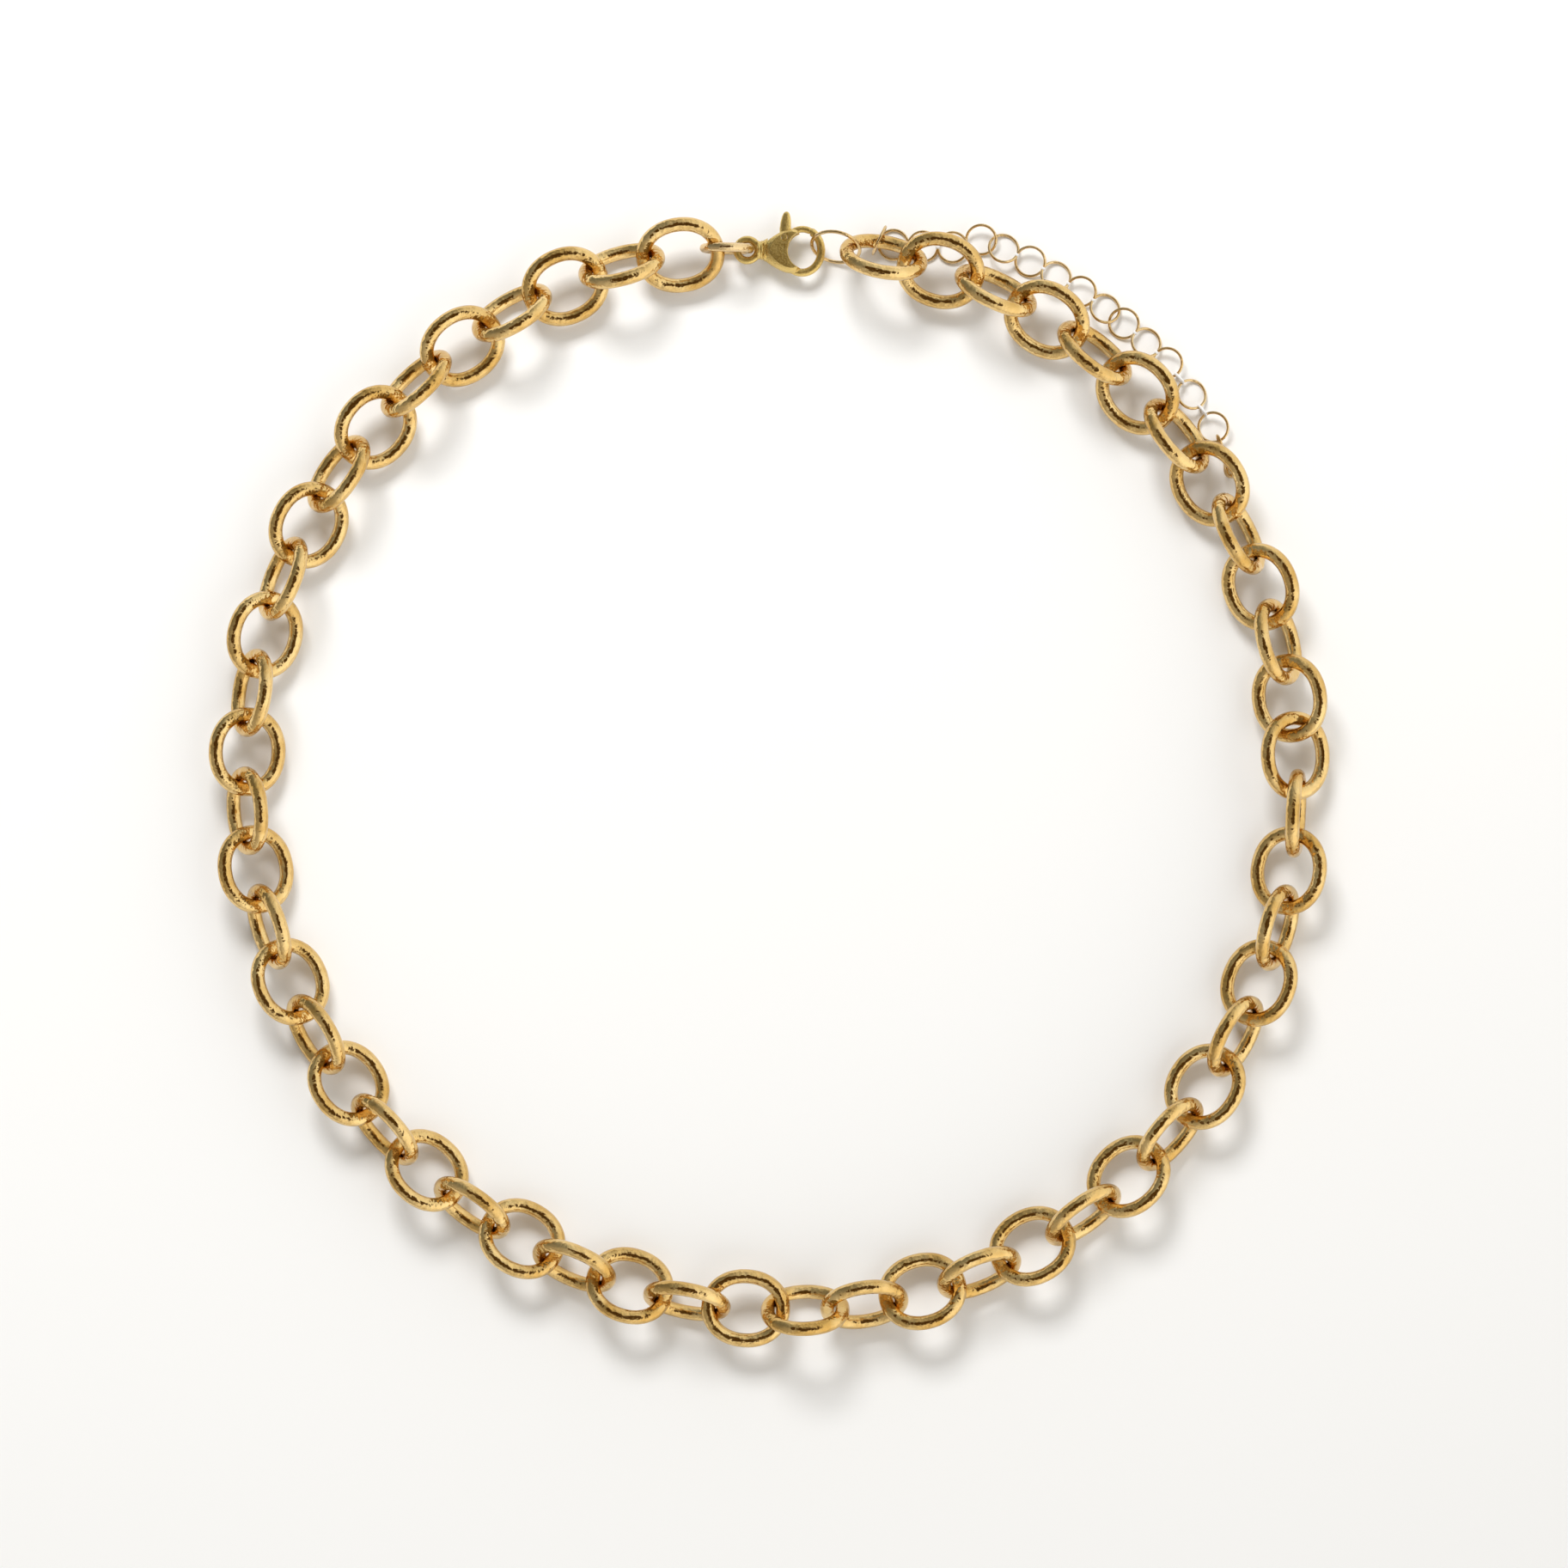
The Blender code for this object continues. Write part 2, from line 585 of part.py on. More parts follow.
def build_drop(ring, ring_turn):
    """The drop hangs by a small upright loop from the far side of the last ring and lies on the table."""
    turn = ring_turn[2] - math.radians(DROP_TURN)
    ahead = Vector((math.cos(turn), math.sin(turn), 0))
    reach = EXTENDER_RADIUS + DROP_LOOP_RADIUS - (EXTENDER_WIRE + DROP_LOOP_WIRE) / 2 - RING_PLAY
    eye = ring + ahead * reach
    eye.z = DROP_LOOP / 2
    profile = [(along * DROP_LENGTH, radius * DROP_RADIUS) for along, radius in DROP_PROFILE]
    profile = [(0, 0), *profile, (DROP_LENGTH, 0)]
    neck = eye + ahead * (DROP_LOOP_RADIUS - DROP_LOOP_WIRE / 4)
    fall = math.asin((DROP_RADIUS + DROP_LIFT - eye.z) / (DROP_WIDEST * DROP_LENGTH))
    drop = turned("drop", profile, 12, pale, neck, (0, -fall, turn))
    loop = ring_curve("drop_loop", DROP_LOOP_RADIUS, DROP_LOOP_WIRE, 12, pale)
    upright = (math.pi / 2, 0, turn)
    boolean(drop, as_mesh(add("drop_loop", loop, eye, upright, cutters)), "UNION")


build_links()
build_jump_ring()
build_clasp_body()
build_trigger()
build_spring()
build_catch_ring()
build_extender()
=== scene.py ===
"""Gold chain necklace laid in a loop: oval links, lobster clasp, catch ring, extender chain and drop."""
import json
import math

import bmesh
import bpy
from mathutils import Euler, Matrix, Vector


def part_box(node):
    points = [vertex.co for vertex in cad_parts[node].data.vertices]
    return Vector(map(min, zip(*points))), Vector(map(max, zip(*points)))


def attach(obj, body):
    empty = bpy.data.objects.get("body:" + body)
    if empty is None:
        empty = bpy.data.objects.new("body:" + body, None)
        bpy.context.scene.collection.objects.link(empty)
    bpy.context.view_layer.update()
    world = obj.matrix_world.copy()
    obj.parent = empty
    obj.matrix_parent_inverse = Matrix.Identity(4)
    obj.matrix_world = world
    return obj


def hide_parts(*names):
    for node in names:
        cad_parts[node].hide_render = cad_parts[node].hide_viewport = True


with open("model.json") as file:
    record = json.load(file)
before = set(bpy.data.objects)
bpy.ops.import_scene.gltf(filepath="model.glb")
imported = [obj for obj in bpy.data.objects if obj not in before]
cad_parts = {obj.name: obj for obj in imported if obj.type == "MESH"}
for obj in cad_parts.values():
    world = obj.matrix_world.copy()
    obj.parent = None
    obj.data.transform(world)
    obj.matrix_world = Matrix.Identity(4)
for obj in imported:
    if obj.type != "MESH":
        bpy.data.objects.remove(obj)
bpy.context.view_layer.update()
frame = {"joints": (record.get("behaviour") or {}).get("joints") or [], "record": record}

MM = 0.001

# Main links. Each is a length of round gold-plated wire bent to an oval, soldered shut and tumbled
# bright. They hook into each other and lie by turns on their face and steeply on their side.
LINK_COUNT = 54
LINK_LENGTH = 12.25 * MM
LINK_WIDTH = 10.8 * MM
LINK_WIRE = 1.95 * MM
LINK_SQUARENESS = 2.12  # 2 is a plain ellipse
LINK_PITCH = 8.1 * MM
BUNCHING = 0.01
WAVES = ((2, 0.77 * MM, -31), (3, 0.38 * MM, 75))
FACE_TILT = 24
EDGE_TILT = -60
TILT_SWAY = 3
SWAY_STEP = 1.9
ORDER_SWAPS = (13, 27)
TURNED_LINKS = {
    1: (-56, 0.65 * MM),
    2: (24, 0.5 * MM),
    12: (26, 0.5 * MM),
    13: (-26, 0.75 * MM),
    14: (-78, 0),
    26: (-52, 0),
    27: (62, 0),
    28: (-2, 1.2 * MM),
}
LINK_REST_WIRE = 1.75 * MM
SIT = 0.48
SOLDERED = (7, 21, 35, 49)
GOLD = (0.80, 0.57, 0.25, 1)
DEEP_GOLD = (0.60, 0.36, 0.10, 1)


def middle(node):
    low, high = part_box(node)
    return (low + high) / 2


LOOP_RADIUS = middle("link_01").xy.length
HALF_GAP = math.atan2(middle("link_01").x, middle("link_01").y)


def wave(angle):
    fade = min(1, (math.pi - abs(math.pi - angle % (2 * math.pi)) - HALF_GAP) / HALF_GAP)
    lobes = sum(height * math.cos(n * angle - math.radians(turn)) for n, height, turn in WAVES)
    return max(0, fade) * lobes


def on_loop(angle, outward=0, height=0):
    radius = LOOP_RADIUS + wave(angle) + outward
    return Vector((radius * math.sin(angle), radius * math.cos(angle), height))


def heading(angle):
    ahead = on_loop(angle + 0.01) - on_loop(angle - 0.01)
    return math.atan2(ahead.y, ahead.x)


def link_angles():
    angles = [HALF_GAP]
    for k in range(1, LINK_COUNT):
        chord = LINK_PITCH * (1 - BUNCHING * math.cos(math.pi * (k - 0.5) / (LINK_COUNT - 1)))
        angles.append(angles[-1] + 2 * math.asin(chord / 2 / LOOP_RADIUS))
    return angles


def tilt_of(k):
    if k in TURNED_LINKS:
        return TURNED_LINKS[k][0]
    swapped = ORDER_SWAPS[0] <= k <= ORDER_SWAPS[1]
    on_its_face = (k % 2 == 1) if swapped else (k % 2 == 0)
    return (FACE_TILT if on_its_face else EDGE_TILT) + TILT_SWAY * math.sin(SWAY_STEP * k)


def link_place(k, angle):
    """Where link k lies, and its turn."""
    half = (LINK_WIDTH - LINK_REST_WIRE) / 2
    rests_at = LINK_REST_WIRE / 2 + half * abs(math.sin(math.radians(tilt_of(k))))
    held_at = LINK_REST_WIRE / 2 + half * abs(math.sin(math.radians(EDGE_TILT)))
    height = max(rests_at, SIT * rests_at + (1 - SIT) * held_at)
    lift = TURNED_LINKS[k][1] if k in TURNED_LINKS else 0
    return on_loop(angle, 0, height + lift), (math.radians(tilt_of(k)), 0, heading(angle))


class Tree:
    """A node tree being put together: add() makes a node, sets its properties and feeds its inputs."""

    def __init__(self, tree):
        self.tree = tree

    def add(self, kind, feeds=(), **properties):
        node = self.tree.nodes.new(kind)
        for name, value in properties.items():
            setattr(node, name, value)
        for socket, value in dict(feeds).items():
            if isinstance(value, bpy.types.NodeSocket):
                self.tree.links.new(value, node.inputs[socket])
            else:
                node.inputs[socket].default_value = value
        return node

    def maths(self, operation, a, b=0.0):
        return self.add("ShaderNodeMath", {0: a, 1: b}, operation=operation).outputs[0]


def wire_ring_tree():
    """Geometry nodes: an oval of round wire at every point of the mesh, turned by the point's own turn."""
    group = bpy.data.node_groups.new("wire_ring", "GeometryNodeTree")
    make = group.interface.new_socket
    make("Places", in_out="INPUT", socket_type="NodeSocketGeometry")
    for name in ("Length", "Width", "Wire", "Squareness"):
        make(name, in_out="INPUT", socket_type="NodeSocketFloat")
    for name in ("Steps along", "Steps round"):
        make(name, in_out="INPUT", socket_type="NodeSocketInt")
    make("Material", in_out="INPUT", socket_type="NodeSocketMaterial")
    make("Rings", in_out="OUTPUT", socket_type="NodeSocketGeometry")
    t = Tree(group)
    given = t.add("NodeGroupInput").outputs
    circle = t.add("GeometryNodeCurvePrimitiveCircle", {"Resolution": given["Steps along"], "Radius": 1.0})
    spot = t.add("ShaderNodeSeparateXYZ", {0: t.add("GeometryNodeInputPosition").outputs[0]})
    power = t.maths("DIVIDE", 2.0, given["Squareness"])
    sides = []
    for axis, size in ((0, "Length"), (1, "Width")):
        reach = t.maths("MULTIPLY", t.maths("SUBTRACT", given[size], given["Wire"]), 0.5)
        curve = t.maths("POWER", t.maths("ABSOLUTE", spot.outputs[axis]), power)
        sides.append(t.maths("MULTIPLY", t.maths("MULTIPLY", t.maths("SIGN", spot.outputs[axis]), curve), reach))
    oval = t.add("ShaderNodeCombineXYZ", {0: sides[0], 1: sides[1]}).outputs[0]
    bent = t.add("GeometryNodeSetPosition", {"Geometry": circle.outputs["Curve"], "Position": oval})
    kept = t.add("GeometryNodeCaptureAttribute", {0: bent.outputs[0]}, domain="POINT")
    kept.capture_items.new("VECTOR", "Middle")
    group.links.new(t.add("GeometryNodeInputPosition").outputs[0], kept.inputs["Middle"])
    radius = t.maths("MULTIPLY", given["Wire"], 0.5)
    profile = t.add(
        "GeometryNodeCurvePrimitiveCircle", {"Resolution": given["Steps round"], "Radius": radius}
    )
    tube = t.add(
        "GeometryNodeCurveToMesh", {"Curve": kept.outputs[0], "Profile Curve": profile.outputs["Curve"]}
    )
    # The grain attribute: across the wire, up from its middle, and along it.
    here = t.add("GeometryNodeInputPosition").outputs[0]
    offset = t.add("ShaderNodeVectorMath", {0: here, 1: kept.outputs["Middle"]}, operation="SUBTRACT")
    outward = t.add("ShaderNodeVectorMath", {0: kept.outputs["Middle"]}, operation="NORMALIZE")
    across = t.add("ShaderNodeVectorMath", {0: offset.outputs[0], 1: outward.outputs[0]}, operation="DOT_PRODUCT")
    rise = t.add("ShaderNodeSeparateXYZ", {0: offset.outputs[0]}).outputs[2]
    along = t.add("ShaderNodeSeparateXYZ", {0: kept.outputs["Middle"]})
    far = t.maths("ADD", along.outputs[0], along.outputs[1])
    grain = t.add("ShaderNodeCombineXYZ", {0: across.outputs["Value"], 1: rise, 2: far}).outputs[0]
    marked = t.add(
        "GeometryNodeStoreNamedAttribute",
        {"Geometry": tube.outputs[0], "Name": "grain"},
        data_type="FLOAT_VECTOR",
        domain="POINT",
    )
    group.links.new(grain, next(s for s in marked.inputs if s.name == "Value" and s.enabled))
    smooth = t.add("GeometryNodeSetShadeSmooth", {"Geometry": marked.outputs[0]})
    points = t.add("GeometryNodeMeshToPoints", {"Mesh": given["Places"]})
    named = t.add("GeometryNodeInputNamedAttribute", {"Name": "turn"}, data_type="FLOAT_VECTOR")
    turn = t.add("FunctionNodeEulerToRotation", {0: named.outputs["Attribute"]})
    laid = t.add(
        "GeometryNodeInstanceOnPoints",
        {"Points": points.outputs[0], "Instance": smooth.outputs[0], "Rotation": turn.outputs[0]},
    )
    real = t.add("GeometryNodeRealizeInstances", {"Geometry": laid.outputs[0]})
    finish = t.add("GeometryNodeSetMaterial", {"Geometry": real.outputs[0], "Material": given["Material"]})
    t.add("NodeGroupOutput", {"Rings": finish.outputs[0]})
    return group


def faced_outwards(mesh):
    shell = bmesh.new()
    shell.from_mesh(mesh)
    bmesh.ops.recalc_face_normals(shell, faces=shell.faces)
    shell.to_mesh(mesh)
    shell.free()
    return mesh


def show(name, mesh):
    piece = bpy.data.objects.new(name, mesh)
    bpy.context.scene.collection.objects.link(piece)
    return piece


def rings(name, places, length, width, wire, material, squareness=2.0, steps=(96, 20)):
    """Wire rings at the places, a list of (place, turn), as one plain mesh object."""
    spots = bpy.data.meshes.new(name + "_places")
    spots.from_pydata([place for place, _ in places], [], [])
    turns = spots.attributes.new("turn", "FLOAT_VECTOR", "POINT")
    for turn, (_, angles) in zip(turns.data, places):
        turn.vector = angles
    holder = show(name + "_places", spots)
    shape = holder.modifiers.new("rings", "NODES")
    shape.node_group = RING_TREE
    values = {
        "Length": length,
        "Width": width,
        "Wire": wire,
        "Squareness": squareness,
        "Steps along": steps[0],
        "Steps round": steps[1],
        "Material": material,
    }
    for item in RING_TREE.interface.items_tree:
        if item.in_out == "INPUT" and item.name in values:
            shape[item.identifier] = values[item.name]
    bpy.context.view_layer.update()
    ready = holder.evaluated_get(bpy.context.evaluated_depsgraph_get())
    mesh = bpy.data.meshes.new_from_object(ready)
    bpy.data.objects.remove(holder)
    return show(name, faced_outwards(mesh))


def settle(piece, body, slot, *nodes):
    """The finished piece stands for these CAD nodes and moves with the body."""
    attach(piece, body)
    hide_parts(*nodes)


def polished_gold(name, light, deep, roughness, streaks=1.0):
    """Tumbled gold plate: faint drawing marks along the wire, and softer patches from handling."""
    material = bpy.data.materials.new(name)
    material.use_nodes = True
    t = Tree(material.node_tree)
    shader = material.node_tree.nodes["Principled BSDF"]
    shader.inputs["Metallic"].default_value = 1
    grain = t.add("ShaderNodeAttribute", attribute_name="grain").outputs["Vector"]
    drawn = t.add("ShaderNodeMapping", {"Vector": grain, "Scale": (1, 1, 0.06)}).outputs[0]
    marks = t.add("ShaderNodeTexNoise", {"Vector": drawn, "Scale": 6500.0, "Detail": 3.0, "Roughness": 0.6})
    place = t.add("ShaderNodeTexCoord").outputs["Object"]
    patches = t.add("ShaderNodeTexNoise", {"Vector": place, "Scale": 260.0, "Detail": 4.0})
    dents = t.add("ShaderNodeTexNoise", {"Vector": place, "Scale": 900.0, "Detail": 2.0})
    tone = t.add("ShaderNodeMapRange", {0: patches.outputs[0], 1: 0.35, 2: 0.68}).outputs[0]
    colour = t.add("ShaderNodeMix", {"Factor": tone}, data_type="RGBA")
    colour.inputs[6].default_value = light
    colour.inputs[7].default_value = deep
    t.tree.links.new(colour.outputs[2], shader.inputs["Base Color"])
    rough = t.add(
        "ShaderNodeMapRange", {0: patches.outputs[0], 1: 0.3, 2: 0.7, 3: roughness * 0.7, 4: roughness * 1.5}
    ).outputs[0]
    streak = t.add("ShaderNodeMapRange", {0: marks.outputs[0], 1: 0.3, 2: 0.7, 3: -0.05, 4: 0.07}).outputs[0]
    t.tree.links.new(t.maths("ADD", rough, streak), shader.inputs["Roughness"])
    waviness = t.add("ShaderNodeBump", {"Strength": 0.8, "Distance": 0.00026, "Height": dents.outputs[0]})
    brushed = t.add(
        "ShaderNodeBump",
        {
            "Strength": 0.5 * streaks,
            "Distance": 0.00002,
            "Height": marks.outputs[0],
            "Normal": waviness.outputs[0],
        },
    )
    t.tree.links.new(brushed.outputs[0], shader.inputs["Normal"])
    return material


RING_TREE = wire_ring_tree()
body_of = {node: body for body, nodes in frame["record"]["behaviour"]["bodies"].items() for node in nodes}
link_gold = polished_gold("polished_gold_plate", GOLD, DEEP_GOLD, 0.13)
angles = link_angles()
for k in range(1, LINK_COUNT + 1):
    if k - 1 in SOLDERED:
        continue
    members = [k, k + 1] if k in SOLDERED else [k]
    node = "link_" + "_".join(f"{m:02d}" for m in members)
    places = [link_place(m, angles[m - 1]) for m in members]
    link = rings(
        f"main_{node}", places, LINK_LENGTH, LINK_WIDTH, LINK_WIRE, link_gold, LINK_SQUARENESS, (112, 24)
    )
    settle(link, body_of[node], "polished_gold", node)

# Jump ring. A ring of stout round wire, standing on edge, that joins the last link to the clasp.
JUMP_DIAMETER = 7.5 * MM
JUMP_WIRE = 1.25 * MM
JUMP_LEAN = -3

fine_gold = polished_gold("bright_fine_gold", (0.80, 0.60, 0.33, 1), (0.62, 0.42, 0.18, 1), 0.14, 0.5)
jump_turn = (math.radians(90 - JUMP_LEAN), 0, 0)
jump_ring = rings(
    "jump_ring_wire", [(middle("jump_ring"), jump_turn)], JUMP_DIAMETER, JUMP_DIAMETER, JUMP_WIRE, fine_gold
)
settle(jump_ring, "jump_ring", "fine_gold_wire", "jump_ring")

# Clasp body. A lobster clasp cast in one piece: a flared, flattened body with a hook of round rod
# round the eye, a beaded neck and the tail loop. The casting is tumbled, so its face stays satin.
# Its sizes are in millimetres from the middle of the eye.
TAIL_AT = -7.6
TAIL_RADIUS = 1.45
TAIL_WIRE = 1.05
HOOK_REACH = 2.6
HOOK_SPREAD = 3.0
HOOK_ROD = 1.15
HOOK_FROM, HOOK_TO = -215, 60
PIVOT = Vector((-2.5, 1.75, 0))
BODY_FLAT = 1.3
BODY_PROFILE = (
    (-6.2, 0.0), (-6.15, 0.8), (-5.75, 1.1), (-5.2, 1.45), (-4.6, 1.85), (-3.9, 2.3), (-3.1, 2.72),
    (-2.3, 3.02), (-1.5, 3.15), (-0.8, 3.05), (-0.3, 2.6), (0.0, 0.0),
)
BODY_FLATTEN = 0.68
NECK_BEADS = ((-6.05, 1.3, 0.5), (-5.6, 1.35, 0.34), (-5.2, 1.5, 0.26))
# The light satin colour is the gold of the face and also the painted highlight along the clasp's rims.
SATIN_AND_RIM_HIGHLIGHT = (0.74, 0.54, 0.19, 1)
SATIN_DEEP = (0.36, 0.22, 0.05, 1)


def bent_rod(points, radii, sides=20):
    """A bmesh rod through the points with rounded, closed ends."""
    rod = bmesh.new()
    loops = []
    for i, (point, radius) in enumerate(zip(points, radii)):
        ahead = (points[min(i + 1, len(points) - 1)] - points[max(i - 1, 0)]).normalized()
        side = ahead.orthogonal() if i == 0 else (side - ahead * side.dot(ahead))
        side.normalize()
        up = ahead.cross(side)
        ring = []
        for s in range(sides):
            a = 2 * math.pi * s / sides
            ring.append(rod.verts.new(point + (side * math.cos(a) + up * math.sin(a)) * radius))
        loops.append(ring)
    for near, far in zip(loops, loops[1:]):
        for s in range(sides):
            rod.faces.new((near[s], near[(s + 1) % sides], far[(s + 1) % sides], far[s]))
    rod.faces.new(loops[0])
    rod.faces.new(loops[-1])
    return rod


def rod_with_ends(points, radius, ends=5):
    """Adds a quarter-round of shrinking loops at both ends of the rod, so it closes in a dome."""
    first, last = (points[0] - points[1]).normalized(), (points[-1] - points[-2]).normalized()
    turns = [math.pi / 2 * i / ends for i in range(1, ends)]
    before = [points[0] + first * radius * math.sin(a) for a in reversed(turns)]
    after = [points[-1] + last * radius * math.sin(a) for a in turns]
    small = [radius * math.cos(a) for a in turns]
    return bent_rod(before + list(points) + after, small[::-1] + [radius] * len(points) + small)


def lathe(profile, steps=48, flatten=1.0):
    """A profile of (along, radius) turned about X, pressed flat in Z."""
    shell = bmesh.new()
    verts = [shell.verts.new((along, radius, 0)) for along, radius in profile]
    edges = [shell.edges.new(pair) for pair in zip(verts, verts[1:])]
    bmesh.ops.spin(
        shell,
        geom=verts + edges,
        cent=(0, 0, 0),
        axis=(1, 0, 0),
        angle=2 * math.pi,
        steps=steps,
        use_merge=True,
    )
    bmesh.ops.remove_doubles(shell, verts=shell.verts, dist=1e-4)
    bmesh.ops.recalc_face_normals(shell, faces=shell.faces)
    bmesh.ops.scale(shell, vec=(1, 1, flatten), verts=shell.verts)
    return shell


def block(low, high):
    shell = bmesh.new()
    bmesh.ops.create_cube(shell, size=1)
    size, mid = Vector(high) - Vector(low), (Vector(high) + Vector(low)) / 2
    bmesh.ops.transform(shell, matrix=Matrix.Translation(mid) @ Matrix.Diagonal((*size, 1)), verts=shell.verts)
    return shell


def post(centre, radius, length, stretch=1.0, steps=48):
    shell = bmesh.new()
    bmesh.ops.create_cone(shell, cap_ends=True, segments=steps, radius1=radius, radius2=radius, depth=length)
    bmesh.ops.transform(
        shell, matrix=Matrix.Translation(centre) @ Matrix.Diagonal((1, stretch, 1, 1)), verts=shell.verts
    )
    return shell


def hoop(centre, radius, wire, matrix=Matrix.Identity(4), steps=64, sides=20):
    shell = bmesh.new()
    loops = []
    for i in range(steps):
        a = 2 * math.pi * i / steps
        out = Vector((math.cos(a), math.sin(a), 0))
        loop = []
        for s in range(sides):
            b = 2 * math.pi * s / sides
            loop.append(shell.verts.new(out * (radius + wire / 2 * math.cos(b)) + Vector((0, 0, wire / 2 * math.sin(b)))))
        loops.append(loop)
    for near, far in zip(loops, loops[1:] + loops[:1]):
        for s in range(sides):
            shell.faces.new((near[s], near[(s + 1) % sides], far[(s + 1) % sides], far[s]))
    bmesh.ops.transform(shell, matrix=Matrix.Translation(centre) @ matrix, verts=shell.verts)
    return shell


def joined(name, shells):
    whole = bmesh.new()
    for shell in shells:
        bmesh.ops.recalc_face_normals(shell, faces=shell.faces)
        part = bpy.data.meshes.new(name)
        shell.to_mesh(part)
        shell.free()
        whole.from_mesh(part)
        bpy.data.meshes.remove(part)
    mesh = bpy.data.meshes.new(name)
    whole.to_mesh(mesh)
    whole.free()
    return mesh


def cast(name, solids, cuts, place, material, voxel=0.07, softening=4):
    """Solids melted into one casting, with the cuts taken out and every edge tumbled round.

    The shells are in millimetres about the place, which is in metres.
    """
    casting = show(name + "_casting", joined(name, solids))
    melt = casting.modifiers.new("melt", "REMESH")
    melt.mode = "VOXEL"
    melt.voxel_size = voxel
    tools = []
    for i, cut in enumerate(cuts):
        tool = show(f"{name}_cut_{i}", joined(f"{name}_cut_{i}", [cut]))
        take = casting.modifiers.new(f"cut_{i}", "BOOLEAN")
        take.operation = "DIFFERENCE"
        take.object = tool
        tools.append(tool)
    again = casting.modifiers.new("melt_again", "REMESH")
    again.mode = "VOXEL"
    again.voxel_size = voxel
    soften = casting.modifiers.new("tumble", "SMOOTH")
    soften.factor = 0.5
    soften.iterations = softening
    bpy.context.view_layer.update()
    ready = casting.evaluated_get(bpy.context.evaluated_depsgraph_get())
    mesh = bpy.data.meshes.new_from_object(ready)
    for used in [casting] + tools:
        bpy.data.objects.remove(used)
    mesh.transform(Matrix.Translation(place) @ Matrix.Scale(MM, 4))
    mesh.materials.clear()
    mesh.materials.append(material)
    mesh.polygons.foreach_set("use_smooth", [True] * len(mesh.polygons))
    return show(name, mesh)


def satin_gold(name, light, deep):
    """Cast gold left satin: a fine pebbled skin on the up-facing face, with the rims kept lighter as a painted
    highlight.
    """
    material = bpy.data.materials.new(name)
    material.use_nodes = True
    t = Tree(material.node_tree)
    shader = material.node_tree.nodes["Principled BSDF"]
    shader.inputs["Metallic"].default_value = 1
    place = t.add("ShaderNodeTexCoord").outputs["Object"]
    pebbles = t.add("ShaderNodeTexNoise", {"Vector": place, "Scale": 3600.0, "Detail": 3.0, "Roughness": 0.65})
    clouds = t.add("ShaderNodeTexNoise", {"Vector": place, "Scale": 900.0, "Detail": 3.0})
    upward = t.add("ShaderNodeSeparateXYZ", {0: t.add("ShaderNodeNewGeometry").outputs["Normal"]}).outputs[2]
    face = t.add("ShaderNodeMapRange", {0: t.maths("ABSOLUTE", upward), 1: 0.86, 2: 0.985}).outputs[0]
    speckle = t.add("ShaderNodeMapRange", {0: pebbles.outputs[0], 1: 0.38, 2: 0.66}).outputs[0]
    cloudy = t.add("ShaderNodeMapRange", {0: clouds.outputs[0], 1: 0.3, 2: 0.7}).outputs[0]
    # Pebbled speckle and darker clouds only where the surface faces up; the rims keep the light colour as a painted
    # highlight.
    face_speckle_rim_highlight = t.maths("MULTIPLY", t.maths("ADD", t.maths("MULTIPLY", speckle, 0.6), t.maths("MULTIPLY", cloudy, 0.5)), face)
    colour = t.add("ShaderNodeMix", {"Factor": face_speckle_rim_highlight}, data_type="RGBA")
    colour.inputs[6].default_value = light
    colour.inputs[7].default_value = deep
    t.tree.links.new(colour.outputs[2], shader.inputs["Base Color"])
    rough = t.add("ShaderNodeMapRange", {0: face, 3: 0.14, 4: 0.34}).outputs[0]
    grit = t.maths("MULTIPLY", t.maths("MULTIPLY", speckle, face), 0.12)
    t.tree.links.new(t.maths("ADD", rough, grit), shader.inputs["Roughness"])
    bump = t.add("ShaderNodeBump", {"Strength": 0.9, "Distance": 0.00012, "Height": pebbles.outputs[0]})
    t.tree.links.new(bump.outputs[0], shader.inputs["Normal"])
    return material


def on_eye(degrees):
    angle = math.radians(degrees)
    return Vector((HOOK_REACH * math.cos(angle), HOOK_SPREAD * math.sin(angle), 0))


joints = {joint["name"]: Vector(joint["pos_m"]) for joint in frame["joints"]}
EYE = joints["trigger_pivot"] - PIVOT * MM
clasp_gold = satin_gold("satin_cast_gold", SATIN_AND_RIM_HIGHLIGHT, SATIN_DEEP)
hook_points = [on_eye(HOOK_FROM + (HOOK_TO - HOOK_FROM) * i / 40) for i in range(41)]
tail = Vector((TAIL_AT, 0, 0))
stand = Matrix.Rotation(math.pi / 2, 4, "Y")
solids = [
    lathe(BODY_PROFILE, flatten=BODY_FLATTEN),
    rod_with_ends(hook_points, HOOK_ROD / 2),
    hoop(tail, TAIL_RADIUS, TAIL_WIRE),
]
solids += [hoop(Vector((x, 0, 0)), r - w / 2, w, stand) for x, r, w in NECK_BEADS]
cuts = [
    post(Vector((0, 0, 0)), HOOK_REACH - HOOK_ROD / 2, 8, (HOOK_SPREAD - HOOK_ROD / 2) / (HOOK_REACH - HOOK_ROD / 2)),
    block((-8, -5, BODY_FLAT), (5, 5, 5)),
    block((-8, -5, -5), (5, 5, -BODY_FLAT)),
    block((-4.8, 0.55, -0.75), (1.0, 6, 0.75)),
    post(PIVOT, 0.45, 8),
]
body = cast("lobster_clasp_body", solids, cuts, EYE, clasp_gold)
settle(body, "clasp", "satin_gold", "clasp_body")

# Pivot pin. A short gold-plated pin through both sides of the clasp, peened flush and tumbled with
# the casting, so its ends hardly show.
PIN_RADIUS = 0.38
PIN_DOME = 0.05

